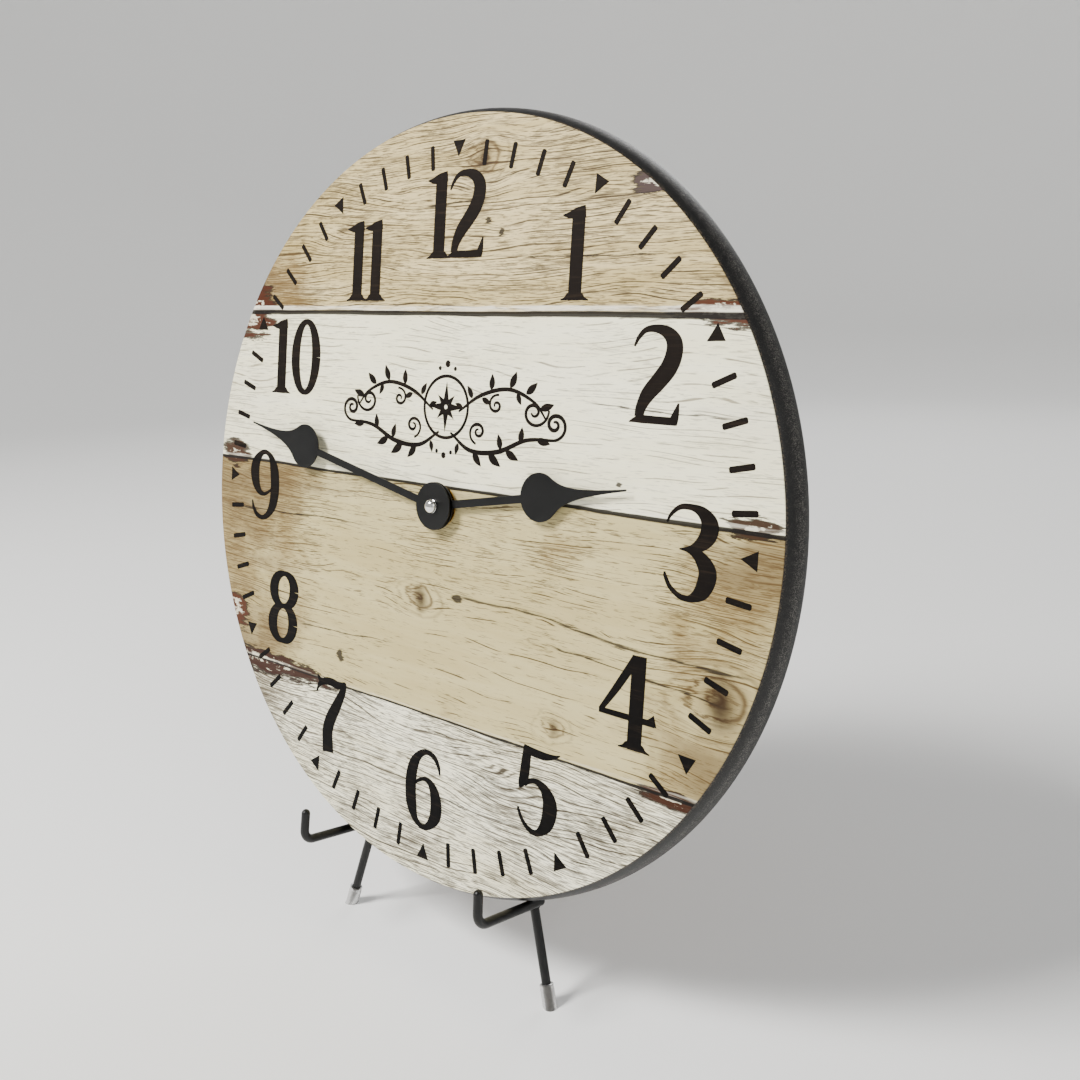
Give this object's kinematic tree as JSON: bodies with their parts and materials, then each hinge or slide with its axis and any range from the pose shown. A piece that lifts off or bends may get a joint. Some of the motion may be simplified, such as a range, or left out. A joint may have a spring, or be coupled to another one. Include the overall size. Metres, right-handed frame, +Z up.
{
  "type": "wall clock",
  "caption": "Round board clock with a rustic plank print, spade hands and a battery quartz movement, standing on a folding wire easel.",
  "frame": {"origin": "middle of the footprint, on the surface that the easel stands on", "axes": "+Z up, the dial faces -Y and leans back 8 degrees, +X to the right of someone looking at the dial"},
  "size_m": [0.3048, 0.1384, 0.3351],
  "materials": {
    "painted_board": "black paint, satin",
    "printed_face": "printed paper under a matt film",
    "black_hands": "matt black",
    "bright_nut": "polished",
    "zinc_steel": "zinc plated",
    "soft_gasket": "matt",
    "case_plastic": "fine spark texture",
    "gear_plastic": "natural acetal",
    "colour_gear": "red acetal",
    "brass_fitting": "turned",
    "core_steel": "stamped sheet",
    "magnet": "sintered",
    "copper_wire": "enamelled copper",
    "bobbin_plastic": "moulded",
    "circuit_laminate": "phenolic laminate",
    "chip_resin": "potting resin",
    "contact_steel": "nickel plated",
    "battery_jacket": "shrink sleeve",
    "easel_wire": "black powder coat",
    "smoky_vinyl": "smoky vinyl"
  },
  "bodies": {
    "easel": {"left_leg": "easel_wire", "right_leg": "easel_wire", "left_hinge_barrel": "easel_wire", "right_hinge_barrel": "easel_wire", "hinge_pin": "zinc_steel", "left_hook_arm": "easel_wire", "right_hook_arm": "easel_wire", "left_foot_cap": "smoky_vinyl", "right_foot_cap": "smoky_vinyl"},
    "rear_leg": {"rear_leg": "easel_wire", "rear_knuckle": "easel_wire", "rear_foot_cap": "smoky_vinyl"},
    "clock": {"board": "painted_board", "dial_face": "printed_face", "bush_washer": "brass_fitting", "bush_nut": "brass_fitting", "gasket": "soft_gasket", "wall_hanger": "zinc_steel", "front_case": "case_plastic", "rear_cover": "case_plastic", "train_bridge": "bobbin_plastic", "stator": "core_steel", "coil_core": "core_steel", "coil_bobbin": "bobbin_plastic", "coil_winding": "copper_wire", "circuit_board": "circuit_laminate", "quartz_crystal": "contact_steel", "sealed_chip": "chip_resin", "plus_contact": "contact_steel", "minus_contact": "contact_steel"},
    "battery": {"battery_cell": "battery_jacket", "battery_cap": "contact_steel"},
    "minute_hand": {"minute_hand": "black_hands", "minute_tube": "brass_fitting", "cap_nut": "bright_nut"},
    "hour_hand": {"hour_hand": "black_hands", "hour_wheel": "gear_plastic"},
    "minute_wheel": {"minute_wheel": "gear_plastic"},
    "setting_knob": {"setting_knob": "colour_gear"},
    "seconds_wheel": {"seconds_wheel": "gear_plastic"},
    "third_wheel": {"third_wheel": "gear_plastic"},
    "centre_wheel": {"centre_wheel": "gear_plastic"},
    "intermediate_wheel": {"intermediate_wheel": "gear_plastic"},
    "rotor": {"rotor_pinion": "colour_gear", "rotor_magnet": "magnet"}
  },
  "joints": [
    {"name": "rear_leg_fold", "type": "hinge", "parent": "easel", "child": "rear_leg", "pos_m": [0, -0.01798, 0.14554], "axis": [1, 0, 0], "range_deg": [-36, 0]},
    {"name": "clock_lift_off", "type": "slide", "parent": "easel", "child": "clock", "axis": [0, 0.1392, 0.9903], "range_m": [0, 0.06]},
    {"name": "battery_pull_out", "type": "slide", "parent": "clock", "child": "battery", "axis": [0, 0.9903, -0.1392], "range_m": [0, 0.03]},
    {"name": "minute_hand_turn", "type": "hinge", "parent": "clock", "child": "minute_hand", "pos_m": [0, -0.02765, 0.18527], "axis": [0, 0.9903, -0.1392], "continuous": true},
    {"name": "hour_hand_turn", "type": "hinge", "parent": "clock", "child": "hour_hand", "pos_m": [0, -0.02765, 0.18527], "axis": [0, 0.9903, -0.1392], "continuous": true},
    {"name": "minute_wheel_turn", "type": "hinge", "parent": "clock", "child": "minute_wheel", "pos_m": [-0.00727, -0.02706, 0.18943], "axis": [0, 0.9903, -0.1392], "continuous": true},
    {"name": "setting_knob_turn", "type": "hinge", "parent": "clock", "child": "setting_knob", "pos_m": [-0.01567, -0.02706, 0.18943], "axis": [0, 0.9903, -0.1392], "continuous": true},
    {"name": "seconds_wheel_turn", "type": "hinge", "parent": "clock", "child": "seconds_wheel", "pos_m": [0, -0.02765, 0.18527], "axis": [0, 0.9903, -0.1392], "continuous": true},
    {"name": "third_wheel_turn", "type": "hinge", "parent": "clock", "child": "third_wheel", "pos_m": [0.00779, -0.02702, 0.18973], "axis": [0, 0.9903, -0.1392], "continuous": true},
    {"name": "centre_wheel_turn", "type": "hinge", "parent": "clock", "child": "centre_wheel", "pos_m": [0, -0.02765, 0.18527], "axis": [0, 0.9903, -0.1392], "continuous": true},
    {"name": "intermediate_wheel_turn", "type": "hinge", "parent": "clock", "child": "intermediate_wheel", "pos_m": [-0.00385, -0.02672, 0.19187], "axis": [0, 0.9903, -0.1392], "continuous": true},
    {"name": "rotor_turn", "type": "hinge", "parent": "clock", "child": "rotor", "pos_m": [-0.00385, -0.0258, 0.19841], "axis": [0, 0.9903, -0.1392], "continuous": true}
  ],
  "couplings": [
    {"joint": "hour_hand_turn", "follows": "minute_hand_turn", "ratio": 0.083333},
    {"joint": "minute_wheel_turn", "follows": "minute_hand_turn", "ratio": -0.33333},
    {"joint": "setting_knob_turn", "follows": "minute_hand_turn", "ratio": 1},
    {"joint": "intermediate_wheel_turn", "follows": "rotor_turn", "ratio": -0.2},
    {"joint": "seconds_wheel_turn", "follows": "rotor_turn", "ratio": 0.033333},
    {"joint": "third_wheel_turn", "follows": "rotor_turn", "ratio": -0.0044444},
    {"joint": "centre_wheel_turn", "follows": "rotor_turn", "ratio": 0.00055556}
  ]
}
